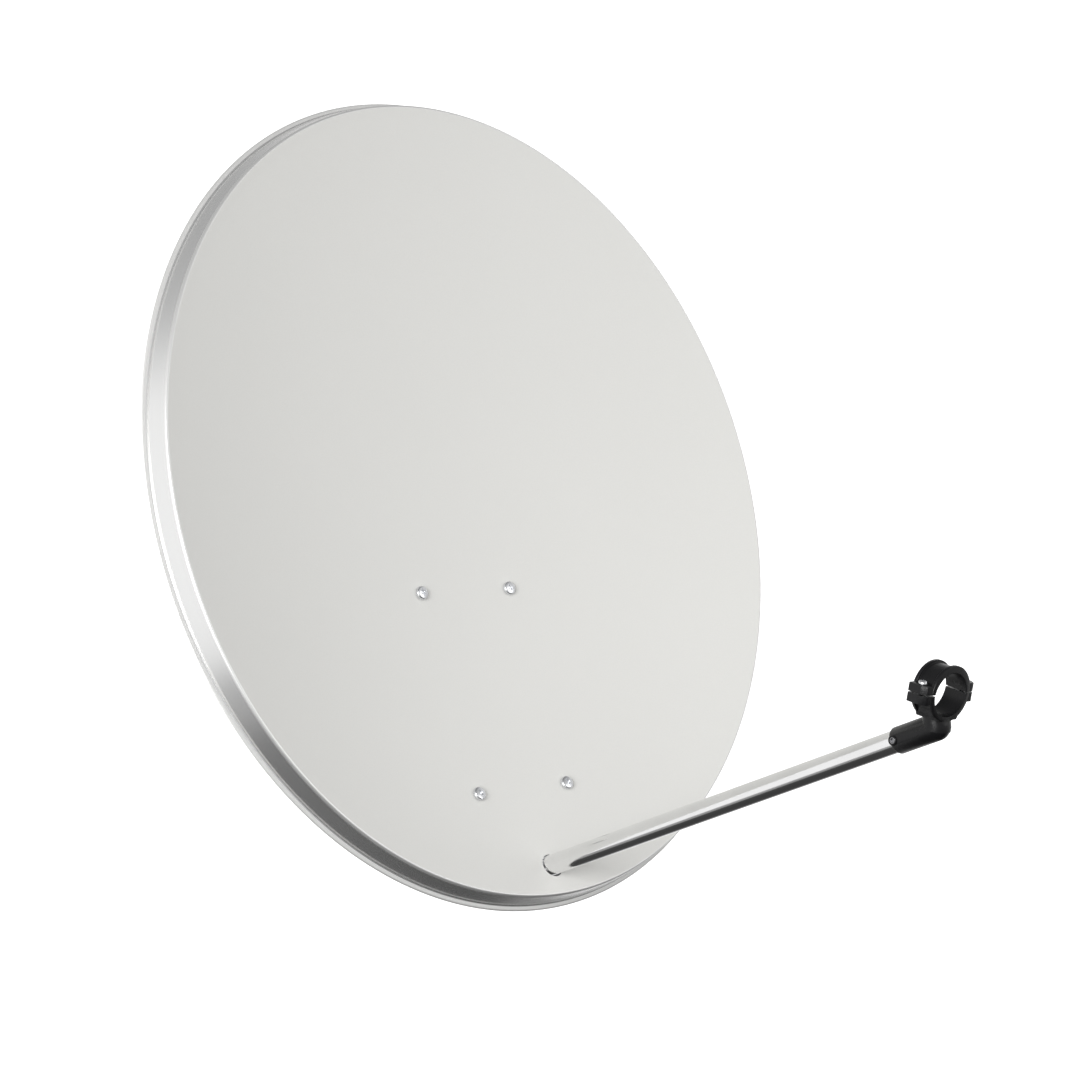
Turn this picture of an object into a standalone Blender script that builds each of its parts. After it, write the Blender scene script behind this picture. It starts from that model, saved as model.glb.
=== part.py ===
"""Offset dish antenna: a pressed steel reflector with a feed arm, on a tilting mast bracket.

Metres, +Z up. The antenna looks towards -Y. The origin is the middle of the mast
bracket's web, on its rear face, which is turned to the mast behind it.
"""

from math import atan2, cos, pi, radians, sin, sqrt, tan

import bmesh
import bpy
from mathutils import Matrix, Vector

# Reflector: a paraboloid cut by a slanted plane, so its rim is a plane ellipse.
DISH_HEIGHT = 0.800
FOCAL_LENGTH = 0.4727
OFFSET_ANGLE = radians(21.49)
LEAN_BACK = radians(15.69)
SHEET = 0.0008
SKIRT_DEPTH = 0.0250
SKIRT_SPREAD = 0.0092
HEM_WIDTH = 0.0042
RIM_STEPS = 72
BOWL_RINGS = 10

# Middle of the rim's plane, seen from the mast bracket's web.
RIM_CENTRE = Vector((0.0, -0.1195, 0.2009))

# Four bolts through the reflector, in the rim's plane.
BOLT_X = 0.0575
BOLT_UPPER = -0.0875
BOLT_LOWER = -0.2943
BOLT_RADIUS = 0.0040
BOLT_HOLE = 0.0043
HEAD_RADIUS = 0.0069
NUT_FLATS = 0.0130

# Feed arm: a round tube through a hole near the reflector's lower edge.
ARM_HOLE_LEVEL = -0.3728
ARM_HOLE_RADIUS = 0.0122
ARM_TILT = radians(4.61)
TUBE_RADIUS = 0.0100
TUBE_BORE = 0.0088
TUBE_FRONT = 0.478
TUBE_REAR = -0.092
ARM_BOLT_AT = -0.052

# Holder for a receiver with a 40 mm neck. Along and rise are measured from the
# arm's hole, along the arm and square to it.
SLEEVE_MOUTH = 0.4612
SLEEVE_RADIUS = 0.0118
SLEEVE_BORE = 0.0103
ELBOW_ALONG = 0.5045
NECK_RADIUS = 0.0123
RING_ALONG = 0.5287
RING_RISE = 0.0212
RING_TILT = radians(11.69)
RING_BORE = 0.0200
RING_WALL = 0.0222
FLANGE_RADIUS = 0.0242
RING_LENGTH = 0.0227
FLANGE_THICK = 0.0034
NECK_WIDTH = 0.0129
HALF_GAP = 0.0006

# The cap's arc sits this much low, because no receiver's neck holds the halves apart.
CAP_DROP = 0.0023

# Ears: an outline seen from above, as (X, along the ring) points, and where the screw is.
EAR_OUTLINE = [(0.0180, -0.0083), (0.0322, -0.0083), (0.0328, -0.0077), (0.0328, 0.0024), (0.0325, 0.0046),
               (0.0314, 0.0072), (0.0296, 0.0098), (0.0283, 0.0108), (0.0180, 0.0108)]
EAR_TOP = 0.0077
EAR_BOTTOM = -0.0083
EAR_SCREW_X = 0.0262
EAR_SCREW_ALONG = 0.0012
CLAMP_SCREW_RADIUS = 0.0020
BOSS_SETBACK = 0.0040
BOSS_PROUD = 0.0012

# Reflector bracket: a hat section pressed from 2.5 mm plate.
PLATE = 0.0025
CHEEK_INNER = 0.0428
BRACKET_FLANGE_X = 0.0740
FLANGE_TOP = -0.066
FLANGE_BOTTOM = -0.318

# Mast bracket, and the hinge between the two.
WEB_HEIGHT = 0.150
CHANNEL_X = 0.0420
PIVOT = Vector((0.0, -0.045, 0.050))
SLOT_RADIUS = 0.080
TILT_UP = 18.0
TILT_DOWN = 22.0
MAST_FLANGE = 0.026
VEE_HALF_WIDTH = 0.0235
VEE_HALF_ANGLE = radians(55.0)
MAST_RADIUS = 0.025
JAW_BOLT_X = 0.0305
JAW_BOLT_Z = 0.050
JAW_HEIGHT = 0.034

# How far a plate stops short inside the plate that it is welded or bent into.
INSET = 0.0006

# Air left between touching pieces, and under a bolt head in the hollow bowl.
GAP = 0.0003
HEAD_GAP = 0.0007

# Directions of the reflector's own frame and of the arm.
ACROSS = Vector((1.0, 0.0, 0.0))
UP_RIM = Vector((0.0, sin(LEAN_BACK), cos(LEAN_BACK)))
OUT_RIM = Vector((0.0, -cos(LEAN_BACK), sin(LEAN_BACK)))
ARM_DIR = OUT_RIM * cos(ARM_TILT) + UP_RIM * sin(ARM_TILT)
ARM_UP = UP_RIM * cos(ARM_TILT) - OUT_RIM * sin(ARM_TILT)
RING_DIR = Vector((0.0, -cos(RING_TILT), -sin(RING_TILT)))
RING_UP = Vector((0.0, -sin(RING_TILT), cos(RING_TILT)))
RIM_HALF_WIDTH = DISH_HEIGHT * cos(OFFSET_ANGLE) / 2
RIM_HALF_HEIGHT = DISH_HEIGHT / 2


def bowl_depth(x, up):
    """Depth of the reflecting surface behind the rim's plane."""
    slope = tan(OFFSET_ANGLE)
    width = DISH_HEIGHT * cos(OFFSET_ANGLE)
    low = (4 * FOCAL_LENGTH * slope - width) / 2
    middle = low + width / 2
    level = low * low / (4 * FOCAL_LENGTH) + slope * width / 2
    across = middle + up * cos(OFFSET_ANGLE)
    a = sin(OFFSET_ANGLE) ** 2 / (4 * FOCAL_LENGTH)
    b = across * sin(OFFSET_ANGLE) / (2 * FOCAL_LENGTH) + cos(OFFSET_ANGLE)
    c = (x * x + across * across) / (4 * FOCAL_LENGTH) - level - up * sin(OFFSET_ANGLE)
    return (sqrt(b * b - 4 * a * c) - b) / (2 * a)


def in_rim(x, up, out):
    """World point from coordinates in the rim's frame."""
    return RIM_CENTRE + ACROSS * x + UP_RIM * up + OUT_RIM * out


def bowl_normal(x, up):
    """Unit normal of the reflecting surface, pointing out of the bowl."""
    step = 0.001
    side = bowl_depth(x + step, up) - bowl_depth(x - step, up)
    rise = bowl_depth(x, up + step) - bowl_depth(x, up - step)
    return (OUT_RIM + ACROSS * (side / 2 / step) + UP_RIM * (rise / 2 / step)).normalized()


def on_bowl(x, up):
    """World point on the reflecting surface."""
    return in_rim(x, up, -bowl_depth(x, up))


ARM_FOOT = on_bowl(0.0, ARM_HOLE_LEVEL)


def on_arm(along, rise=0.0, x=0.0):
    """World point from coordinates along the feed arm."""
    return ARM_FOOT + ARM_DIR * along + ARM_UP * rise + ACROSS * x


RING_FRONT = on_arm(RING_ALONG, RING_RISE)
RING_MIDDLE = RING_FRONT - RING_DIR * (RING_LENGTH / 2)


def material(name, colour, roughness, metallic):
    """A Principled material."""
    made = bpy.data.materials.new(name)
    made.use_nodes = True
    shader = made.node_tree.nodes["Principled BSDF"]
    shader.inputs["Base Color"].default_value = (*colour, 1.0)
    shader.inputs["Roughness"].default_value = roughness
    shader.inputs["Metallic"].default_value = metallic
    made.diffuse_color = (*colour, 1.0)
    return made


def reflector_paint():
    return material("reflector_paint", (0.60, 0.60, 0.59), 0.55, 0.0)


def galvanised_steel(name):
    return material(name, (0.48, 0.49, 0.50), 0.45, 0.9)


def zinc_plate(name):
    return material(name, (0.62, 0.62, 0.60), 0.35, 1.0)


def chrome():
    return material("arm_chrome", (0.75, 0.75, 0.76), 0.12, 1.0)


def black_plastic(name):
    return material(name, (0.02, 0.02, 0.021), 0.45, 0.0)


def make_object(name, mesh_source, look):
    """Turns a bmesh into a named object with its material."""
    bmesh.ops.recalc_face_normals(mesh_source, faces=mesh_source.faces)
    mesh = bpy.data.meshes.new(name)
    mesh_source.to_mesh(mesh)
    mesh_source.free()
    mesh.shade_smooth()
    mesh.set_sharp_from_angle(angle=radians(30))
    mesh.materials.append(look)
    made = bpy.data.objects.new(name, mesh)
    bpy.context.scene.collection.objects.link(made)
    return made


def helper(name, mesh_source):
    """An object that only cuts or joins, and isn't part of the antenna."""
    made = make_object(name, mesh_source, None)
    made.hide_render = True
    made.display_type = "WIRE"
    return made


def combine(target, other, operation):
    """Adds a Boolean modifier to the target."""
    modifier = target.modifiers.new(other.name, "BOOLEAN")
    modifier.operation = operation
    modifier.solver = "EXACT"
    modifier.object = other


def axes_matrix(origin, x_axis, y_axis, z_axis):
    """Placement from an origin and three unit axes."""
    turn = Matrix((x_axis, y_axis, z_axis)).transposed().to_4x4()
    return Matrix.Translation(origin) @ turn


def placement(origin, z_axis, x_hint=ACROSS):
    """Placement whose local Z points along an axis."""
    z_axis = z_axis.normalized()
    y_axis = z_axis.cross(x_hint).normalized()
    return axes_matrix(origin, y_axis.cross(z_axis), y_axis, z_axis)


def cylinder(start, end, radius, sides=24, made=None):
    """A closed cylinder between two points."""
    made = made or bmesh.new()
    middle = (start + end) / 2
    axis = end - start
    hint = ACROSS if abs(axis.normalized().x) < 0.9 else Vector((0.0, 0.0, 1.0))
    bmesh.ops.create_cone(
        made,
        cap_ends=True,
        segments=sides,
        radius1=radius,
        radius2=radius,
        depth=axis.length,
        matrix=placement(middle, axis, hint),
    )
    return made


def turned(points, sides, origin, axis):
    """A closed body turned about an axis, from its (radius, height) outline."""
    made = bmesh.new()
    matrix = placement(origin, axis, ACROSS if abs(axis.normalized().x) < 0.9 else Vector((0, 0, 1)))
    rings = []
    for radius, height in points:
        if radius == 0.0:
            rings.append([made.verts.new(matrix @ Vector((0.0, 0.0, height)))])
            continue
        ring = []
        for step in range(sides):
            turn = 2 * pi * step / sides
            ring.append(made.verts.new(matrix @ Vector((radius * cos(turn), radius * sin(turn), height))))
        rings.append(ring)
    pairs = list(zip(rings, rings[1:]))
    if len(rings[0]) > 1 and len(rings[-1]) > 1:
        pairs.append((rings[-1], rings[0]))
    for lower, upper in pairs:
        for step in range(sides):
            after = (step + 1) % sides
            corners = [lower[step % len(lower)], lower[after % len(lower)]]
            corners += [upper[after % len(upper)], upper[step % len(upper)]]
            made.faces.new(list(dict.fromkeys(corners)))
    return made


def prism(outline, depth, matrix, made=None):
    """A flat outline in local XY, pushed along local Z by a depth."""
    made = made or bmesh.new()
    low = [made.verts.new(matrix @ Vector((x, y, 0.0))) for x, y in outline]
    high = [made.verts.new(matrix @ Vector((x, y, depth))) for x, y in outline]
    made.faces.new(low)
    made.faces.new(high)
    for index in range(len(outline)):
        after = (index + 1) % len(outline)
        made.faces.new((low[index], low[after], high[after], high[index]))
    return made


def box(low, high, made=None):
    """A box along the world's axes."""
    outline = [(low[0], low[1]), (high[0], low[1]), (high[0], high[1]), (low[0], high[1])]
    return prism(outline, high[2] - low[2], Matrix.Translation((0, 0, low[2])), made)


def hexagon(flats, start=0.0):
    """Corners of a hexagon with a given width across flats."""
    radius = flats / sqrt(3)
    return [(radius * cos(start + pi * k / 3), radius * sin(start + pi * k / 3)) for k in range(6)]


def nut(name, seat, axis, look, height=0.0065):
    """A hexagon nut with a round flange on the side of its seat."""
    hint = ACROSS if abs(axis.x) < 0.9 else Vector((0, 0, 1))
    place = placement(seat, axis, hint)
    body = make_object(name, prism(hexagon(NUT_FLATS), height, place), look)
    washer = helper(name + "_flange", cylinder(seat, seat + axis * 0.0016, 0.0083, 24))
    combine(body, washer, "UNION")
    bore = cylinder(seat - axis * 0.002, seat + axis * (height + 0.002), BOLT_HOLE, 20)
    combine(body, helper(name + "_bore", bore), "DIFFERENCE")
    return body


def pan_bolt(name, seat, axis, length, look):
    """A domed bolt whose head sits on a face and whose shank goes against the axis."""
    outline = [(0.0, -length), (BOLT_RADIUS * 0.8, -length), (BOLT_RADIUS, -length + 0.0008)]
    outline += [(BOLT_RADIUS, 0.0), (HEAD_RADIUS, 0.0), (HEAD_RADIUS, 0.0012)]
    outline += [(HEAD_RADIUS * 0.93, 0.0026), (HEAD_RADIUS * 0.72, 0.0037), (HEAD_RADIUS * 0.42, 0.0042)]
    outline += [(HEAD_RADIUS * 0.36, 0.0026), (0.0, 0.0024)]
    return make_object(name, turned(outline, 24, seat, axis), look)


def hex_bolt(name, seat, axis, length, look):
    """A hexagon bolt: its head stands out along the axis, its shank goes against it."""
    hint = ACROSS if abs(axis.x) < 0.9 else Vector((0, 0, 1))
    place = placement(seat, axis, hint)
    body = make_object(name, prism(hexagon(NUT_FLATS), 0.0053, place), look)
    shank = helper(name + "_shank", cylinder(seat - axis * length, seat + axis * 0.002, BOLT_RADIUS, 20))
    combine(body, shank, "UNION")
    return body


def reflector():
    """The bowl, its rounded shoulder, the skirt and the folded hem, as one sheet."""
    made = bmesh.new()
    front = [(step / BOWL_RINGS, 0.0, None) for step in range(1, BOWL_RINGS + 1)]
    outer = [(0.0014, 0.0002), (0.0026, -0.0006), (0.0034, -0.0022)]
    outer += [(SKIRT_SPREAD - 0.0006, -SKIRT_DEPTH + 0.0030), (SKIRT_SPREAD + 0.0002, -SKIRT_DEPTH + 0.0016)]
    outer += [(SKIRT_SPREAD + HEM_WIDTH - 0.0005, -SKIRT_DEPTH + 0.0008)]
    outer += [(SKIRT_SPREAD + HEM_WIDTH, -SKIRT_DEPTH)]
    outer += [(SKIRT_SPREAD + HEM_WIDTH - 0.0005, -SKIRT_DEPTH - 0.0010)]
    inner = [(SKIRT_SPREAD - 0.0004, -SKIRT_DEPTH - 0.0010), (SKIRT_SPREAD - 0.0014, -SKIRT_DEPTH + 0.0026)]
    inner += [(0.0026, -0.0026), (0.0018, -0.0014), (0.0010, -0.0009)]

    def ring(share, spread, out, back):
        points = []
        for step in range(RIM_STEPS):
            turn = 2 * pi * step / RIM_STEPS
            x = (RIM_HALF_WIDTH * share + spread) * cos(turn)
            up = (RIM_HALF_HEIGHT * share + spread) * sin(turn)
            level = out if out is not None else -bowl_depth(x, up)
            point = in_rim(x, up, level)
            if back:
                point = point - bowl_normal(x, up) * SHEET
            points.append(made.verts.new(point))
        return points

    centre = made.verts.new(on_bowl(0.0, 0.0))
    rings = [ring(share, spread, out, False) for share, spread, out in front]
    rings += [ring(1.0, spread, out, False) for spread, out in outer + inner]
    shares = [1.0 - 0.002] + [step / BOWL_RINGS for step in range(BOWL_RINGS - 1, 0, -1)]
    rings += [ring(share, 0.0, None, True) for share in shares]
    tail = made.verts.new(on_bowl(0.0, 0.0) - bowl_normal(0.0, 0.0) * SHEET)
    for lower, upper in zip(rings, rings[1:]):
        for step in range(RIM_STEPS):
            after = (step + 1) % RIM_STEPS
            made.faces.new((lower[step], lower[after], upper[after], upper[step]))
    for step in range(RIM_STEPS):
        after = (step + 1) % RIM_STEPS
        made.faces.new((centre, rings[0][after], rings[0][step]))
        made.faces.new((tail, rings[-1][step], rings[-1][after]))
    body = make_object("reflector", made, reflector_paint())
    for index, (x, up) in enumerate(bolt_places()):
        normal = bowl_normal(x, up)
        point = on_bowl(x, up)
        hole = cylinder(point - normal * 0.01, point + normal * 0.01, BOLT_HOLE, 16)
        combine(body, helper(f"reflector_hole_{index}", hole), "DIFFERENCE")
    passage = helper("arm_passage", cylinder(on_arm(-0.02), on_arm(0.02), ARM_HOLE_RADIUS, 32))
    combine(body, passage, "DIFFERENCE")
    return body


def bolt_places():
    """Places of the four bolts in the rim's plane, upper pair first."""
    return [(x, up) for up in (BOLT_UPPER, BOLT_LOWER) for x in (-BOLT_X, BOLT_X)]


def reflector_fasteners():
    """Four domed bolts, and the flanged nuts behind the bracket."""
    names = ["upper_left", "upper_right", "lower_left", "lower_right"]
    for name, (x, up) in zip(names, bolt_places()):
        normal = bowl_normal(x, up)
        seat = on_bowl(x, up) + normal * HEAD_GAP
        pan_bolt(f"reflector_bolt_{name}", seat, normal, 0.0160, zinc_plate("bolt_zinc_" + name))
        back = on_bowl(x, up) - normal * (SHEET + PLATE + 2 * GAP)
        nut(f"reflector_nut_{name}", back, -normal, zinc_plate("nut_zinc_" + name))


def bracket_side(side, made):
    """One flange of the reflector bracket, following the reflector's back."""
    rows = 14
    inner = CHEEK_INNER + 0.0007
    columns = [inner, (inner + BRACKET_FLANGE_X) / 2, BRACKET_FLANGE_X]
    near = []
    far = []
    for row in range(rows + 1):
        up = FLANGE_TOP + (FLANGE_BOTTOM - FLANGE_TOP) * row / rows
        for target, distance in ((near, SHEET + GAP + 0.0001), (far, SHEET + GAP + PLATE)):
            line = []
            for x in columns:
                normal = bowl_normal(side * x, up)
                line.append(made.verts.new(on_bowl(side * x, up) - normal * distance))
            target.append(line)
    for row in range(rows):
        for column in range(2):
            for grid in (near, far):
                made.faces.new((grid[row][column], grid[row][column + 1],
                                grid[row + 1][column + 1], grid[row + 1][column]))
        for column in (0, 2):
            made.faces.new((near[row][column], near[row + 1][column], far[row + 1][column], far[row][column]))
    for row in (0, rows):
        for column in range(2):
            made.faces.new((near[row][column], near[row][column + 1], far[row][column + 1], far[row][column]))
    return made


def cheek_outline():
    """Side view of the reflector bracket's cheek, as (Y, Z) points round its edge."""
    points = []
    rows = 12
    for row in range(rows + 1):
        up = FLANGE_TOP + (FLANGE_BOTTOM - FLANGE_TOP) * row / rows
        normal = bowl_normal(CHEEK_INNER + PLATE, up)
        point = on_bowl(CHEEK_INNER + PLATE, up) - normal * (SHEET + GAP + 0.0008)
        points.append((point.y, point.z))
    foot = [on_arm(-0.026, 0.022), on_arm(-0.026, -0.017), on_arm(-0.078, -0.017), on_arm(-0.078, 0.030)]
    points += [(point.y, point.z) for point in foot]
    for angle in (-62, -52):
        turn = radians(angle)
        reach = SLOT_RADIUS + 0.018
        points.append((PIVOT.y + reach * cos(turn), PIVOT.z + reach * sin(turn)))
    for angle in (-25, 0, 30, 60, 90, 115):
        turn = radians(angle)
        points.append((PIVOT.y + 0.018 * cos(turn), PIVOT.z + 0.018 * sin(turn)))
    return points


def slot_cutter(name):
    """The curved elevation slot through both cheeks."""
    half = BOLT_HOLE
    start = radians(-90 - TILT_DOWN)
    end = radians(-90 + TILT_UP)
    steps = 14
    outline = []
    for step in range(steps + 1):
        turn = start + (end - start) * step / steps
        outline.append(((SLOT_RADIUS + half) * cos(turn), (SLOT_RADIUS + half) * sin(turn)))
    for step in range(1, 6):
        turn = end + pi * step / 6
        outline.append((SLOT_RADIUS * cos(end) + half * cos(turn),
                        SLOT_RADIUS * sin(end) + half * sin(turn)))
    for step in range(steps, -1, -1):
        turn = start + (end - start) * step / steps
        outline.append(((SLOT_RADIUS - half) * cos(turn), (SLOT_RADIUS - half) * sin(turn)))
    for step in range(1, 6):
        turn = start + pi + pi * step / 6
        outline.append((SLOT_RADIUS * cos(start) + half * cos(turn),
                        SLOT_RADIUS * sin(start) + half * sin(turn)))
    place = axes_matrix(PIVOT - ACROSS * 0.08, Vector((0, 1, 0)), Vector((0, 0, 1)), ACROSS)
    return helper(name, prism(outline, 0.16, place))


def side_place(x):
    """Placement whose local XY is the world's YZ plane, at a given X."""
    return axes_matrix(Vector((x, 0, 0)), Vector((0, 1, 0)), Vector((0, 0, 1)), ACROSS)


def reflector_bracket():
    """Hat section behind the reflector: two flanges, two cheeks and a foot for the arm."""
    made = bmesh.new()
    prism(cheek_outline(), PLATE, side_place(CHEEK_INNER), made)
    body = make_object("reflector_bracket", made, galvanised_steel("bracket_galvanised"))
    other = prism(cheek_outline(), PLATE, side_place(-CHEEK_INNER - PLATE))
    combine(body, helper("bracket_cheek", other), "UNION")
    for side, name in ((-1, "left"), (1, "right")):
        combine(body, helper("bracket_flange_" + name, bracket_side(side, bmesh.new())), "UNION")
    outer = CHEEK_INNER + PLATE * 0.5
    foot = axes_matrix(on_arm(-0.0777), ACROSS, ARM_UP, ACROSS.cross(ARM_UP))
    outline = [(-outer, -0.0168), (outer, -0.0168), (outer, 0.0290), (-outer, 0.0290)]
    combine(body, helper("bracket_foot", prism(outline, PLATE, foot)), "UNION")
    passage = cylinder(on_arm(-0.10), on_arm(-0.06), TUBE_RADIUS + GAP, 32)
    combine(body, helper("foot_hole", passage), "DIFFERENCE")
    for index, (x, up) in enumerate(bolt_places()):
        normal = bowl_normal(x, up)
        point = on_bowl(x, up)
        hole = cylinder(point - normal * 0.012, point + normal * 0.005, BOLT_HOLE, 16)
        combine(body, helper(f"bracket_hole_{index}", hole), "DIFFERENCE")
    reach = ACROSS * 0.08
    combine(body, helper("pivot_hole", cylinder(PIVOT - reach, PIVOT + reach, BOLT_HOLE, 24)), "DIFFERENCE")
    arm_bolt = on_arm(ARM_BOLT_AT)
    bolt_hole = cylinder(arm_bolt - reach, arm_bolt + reach, BOLT_HOLE, 20)
    combine(body, helper("arm_bolt_hole", bolt_hole), "DIFFERENCE")
    combine(body, slot_cutter("elevation_slot"), "DIFFERENCE")
    return body


def feed_arm():
    """The bright tube from the bracket's foot, through the reflector, to the holder."""
    outline = [(TUBE_RADIUS, TUBE_REAR), (TUBE_RADIUS, TUBE_FRONT)]
    outline += [(TUBE_BORE, TUBE_FRONT), (TUBE_BORE, TUBE_REAR)]
    made = turned(outline, 32, ARM_FOOT, ARM_DIR)
    body = make_object("feed_arm", made, chrome())
    middle = on_arm(ARM_BOLT_AT)
    reach = ACROSS * 0.02
    bolt_hole = cylinder(middle - reach, middle + reach, BOLT_HOLE, 20)
    combine(body, helper("tube_bolt_hole", bolt_hole), "DIFFERENCE")
    return body


def arm_end_cap():
    """The plastic plug in the tube's rear end."""
    rear = TUBE_REAR
    outline = [(0.0, rear - 0.0025), (TUBE_RADIUS - 0.0010, rear - 0.0025), (TUBE_RADIUS, rear - 0.0015)]
    outline += [(TUBE_RADIUS, rear - GAP), (TUBE_BORE - GAP, rear - GAP), (TUBE_BORE - GAP, rear + 0.010)]
    outline += [(TUBE_BORE - 0.0015, rear + 0.010), (TUBE_BORE - 0.0015, rear + 0.001), (0.0, rear + 0.001)]
    return make_object("arm_end_cap", turned(outline, 28, ARM_FOOT, ARM_DIR), black_plastic("cap_plastic"))


def arm_fastener():
    """The bolt across the bracket that locks the tube."""
    middle = on_arm(ARM_BOLT_AT)
    outer = CHEEK_INNER + PLATE + GAP
    hex_bolt("arm_bolt", middle - ACROSS * outer, -ACROSS, 2 * outer + 0.0110, zinc_plate("arm_bolt_zinc"))
    nut("arm_nut", middle + ACROSS * outer, ACROSS, zinc_plate("arm_nut_zinc"))


def ring_point(x, up, along):
    """World point in the clamp ring's frame, from the middle of its length."""
    return RING_MIDDLE + ACROSS * x + RING_UP * up + RING_DIR * along


def ring_place(along):
    """Placement whose local XY is the ring's cross section."""
    return axes_matrix(ring_point(0, 0, along), ACROSS, RING_UP, ACROSS.cross(RING_UP))


def wide_arc(radius, sign):
    """A little more than the upper or lower half of a disc."""
    points = []
    for step in range(33):
        turn = radians(-9) + radians(198) * step / 32
        points.append((radius * cos(turn), sign * radius * sin(turn)))
    return points


def parting_cutter(name, sign):
    """Everything on one side of the line between the clamp's halves."""
    outline = [(-0.05, sign * HALF_GAP), (0.05, sign * HALF_GAP), (0.05, sign * -0.02), (-0.05, sign * -0.02)]
    return helper(name, prism(outline, 0.04, ring_place(-0.02)))


def clamp_bore(name, drop):
    """The 40 mm bore along the clamp."""
    return helper(name, cylinder(ring_point(0, -drop, -0.03), ring_point(0, -drop, 0.03), RING_BORE, 48))


def ear(side, low, high):
    """One ear beside the clamp ring, between two heights."""
    place = axes_matrix(ring_point(0, high, 0), ACROSS, RING_DIR, ACROSS.cross(RING_DIR))
    return prism([(side * x, along) for x, along in EAR_OUTLINE], high - low, place)


def ear_screw_hole(name, side):
    """A hole for the clamp screw, from above the ears to below them."""
    low = ring_point(side * EAR_SCREW_X, -0.02, EAR_SCREW_ALONG)
    high = ring_point(side * EAR_SCREW_X, 0.02, EAR_SCREW_ALONG)
    return helper(name, cylinder(low, high, CLAMP_SCREW_RADIUS + GAP, 16))


def lnb_clamp_cap():
    """Upper half of the clamp ring, with a flange at each end and an ear on each side."""
    half = RING_LENGTH / 2
    made = prism(wide_arc(RING_WALL, 1), RING_LENGTH - 0.001, ring_place(-half + 0.0005))
    body = make_object("lnb_clamp_cap", made, black_plastic("clamp_cap_plastic"))
    for end, name in ((half - FLANGE_THICK, "front"), (-half, "rear")):
        flange = prism(wide_arc(FLANGE_RADIUS, 1), FLANGE_THICK, ring_place(end))
        combine(body, helper("cap_flange_" + name, flange), "UNION")
    for side, name in ((-1, "left"), (1, "right")):
        combine(body, helper("cap_ear_" + name, ear(side, -0.0025, EAR_TOP)), "UNION")
    combine(body, parting_cutter("cap_parting", 1), "DIFFERENCE")
    combine(body, clamp_bore("cap_bore", CAP_DROP), "DIFFERENCE")
    for side, name in ((-1, "left"), (1, "right")):
        combine(body, ear_screw_hole("cap_screw_hole_" + name, side), "DIFFERENCE")
    return body


def saddle_outline(radius):
    """Core of the holder's upper end, seen along the ring's axis: an arc running into the neck."""
    start = radians(-38)
    points = [(radius, 0.004)]
    for step in range(9):
        turn = start * step / 8
        points.append((radius * cos(turn), radius * sin(turn)))
    points.append((NECK_WIDTH, -radius - 0.0005))
    return points + [(-x, up) for x, up in reversed(points)]


def sleeve():
    """The sleeve on the tube, with its rounded blind end."""
    outline = [(0.0, SLEEVE_MOUTH), (SLEEVE_RADIUS - 0.0012, SLEEVE_MOUTH)]
    outline.append((SLEEVE_RADIUS, SLEEVE_MOUTH + 0.0008))
    for step in range(8):
        turn = pi / 2 * step / 8
        outline.append((SLEEVE_RADIUS * cos(turn), ELBOW_ALONG + SLEEVE_RADIUS * sin(turn)))
    outline.append((0.0, ELBOW_ALONG + SLEEVE_RADIUS))
    return turned(outline, 32, ARM_FOOT, ARM_DIR)


def lnb_holder():
    """Sleeve, neck and the lower half of the clamp ring, moulded in one piece."""
    half = RING_LENGTH / 2
    body = make_object("lnb_holder", sleeve(), black_plastic("holder_plastic"))
    knee = on_arm(ELBOW_ALONG)
    neck = cylinder(knee - RING_UP * 0.002, knee + RING_UP * 0.009, NECK_RADIUS, 28)
    combine(body, helper("neck", neck), "UNION")
    core = prism(saddle_outline(RING_WALL), RING_LENGTH - 0.001, ring_place(-half + 0.0005))
    combine(body, helper("saddle_core", core), "UNION")
    for end, name in ((half - FLANGE_THICK, "front"), (-half, "rear")):
        flange = prism(wide_arc(FLANGE_RADIUS, -1), FLANGE_THICK, ring_place(end))
        combine(body, helper("saddle_flange_" + name, flange), "UNION")
    for side, name in ((-1, "left"), (1, "right")):
        combine(body, helper("saddle_ear_" + name, ear(side, EAR_BOTTOM, 0.0025)), "UNION")
    boss_start = on_arm(SLEEVE_MOUTH + BOSS_SETBACK, 0.0, -0.006)
    boss_end = on_arm(SLEEVE_MOUTH + BOSS_SETBACK, 0.0, -SLEEVE_RADIUS - BOSS_PROUD)
    combine(body, helper("screw_boss", cylinder(boss_start, boss_end, 0.0042, 20)), "UNION")
    combine(body, parting_cutter("saddle_parting", -1), "DIFFERENCE")
    combine(body, clamp_bore("saddle_bore", 0.0), "DIFFERENCE")
    mouth = cylinder(on_arm(SLEEVE_MOUTH - 0.01), on_arm(TUBE_FRONT + GAP), SLEEVE_BORE, 32)
    combine(body, helper("sleeve_bore", mouth), "DIFFERENCE")
    hole_start = on_arm(SLEEVE_MOUTH + BOSS_SETBACK)
    hole_end = on_arm(SLEEVE_MOUTH + BOSS_SETBACK, 0.0, -0.02)
    combine(body, helper("grip_screw_hole", cylinder(hole_start, hole_end, 0.0024, 16)), "DIFFERENCE")
    for side, name in ((-1, "left"), (1, "right")):
        combine(body, ear_screw_hole("saddle_screw_hole_" + name, side), "DIFFERENCE")
    return body


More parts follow.
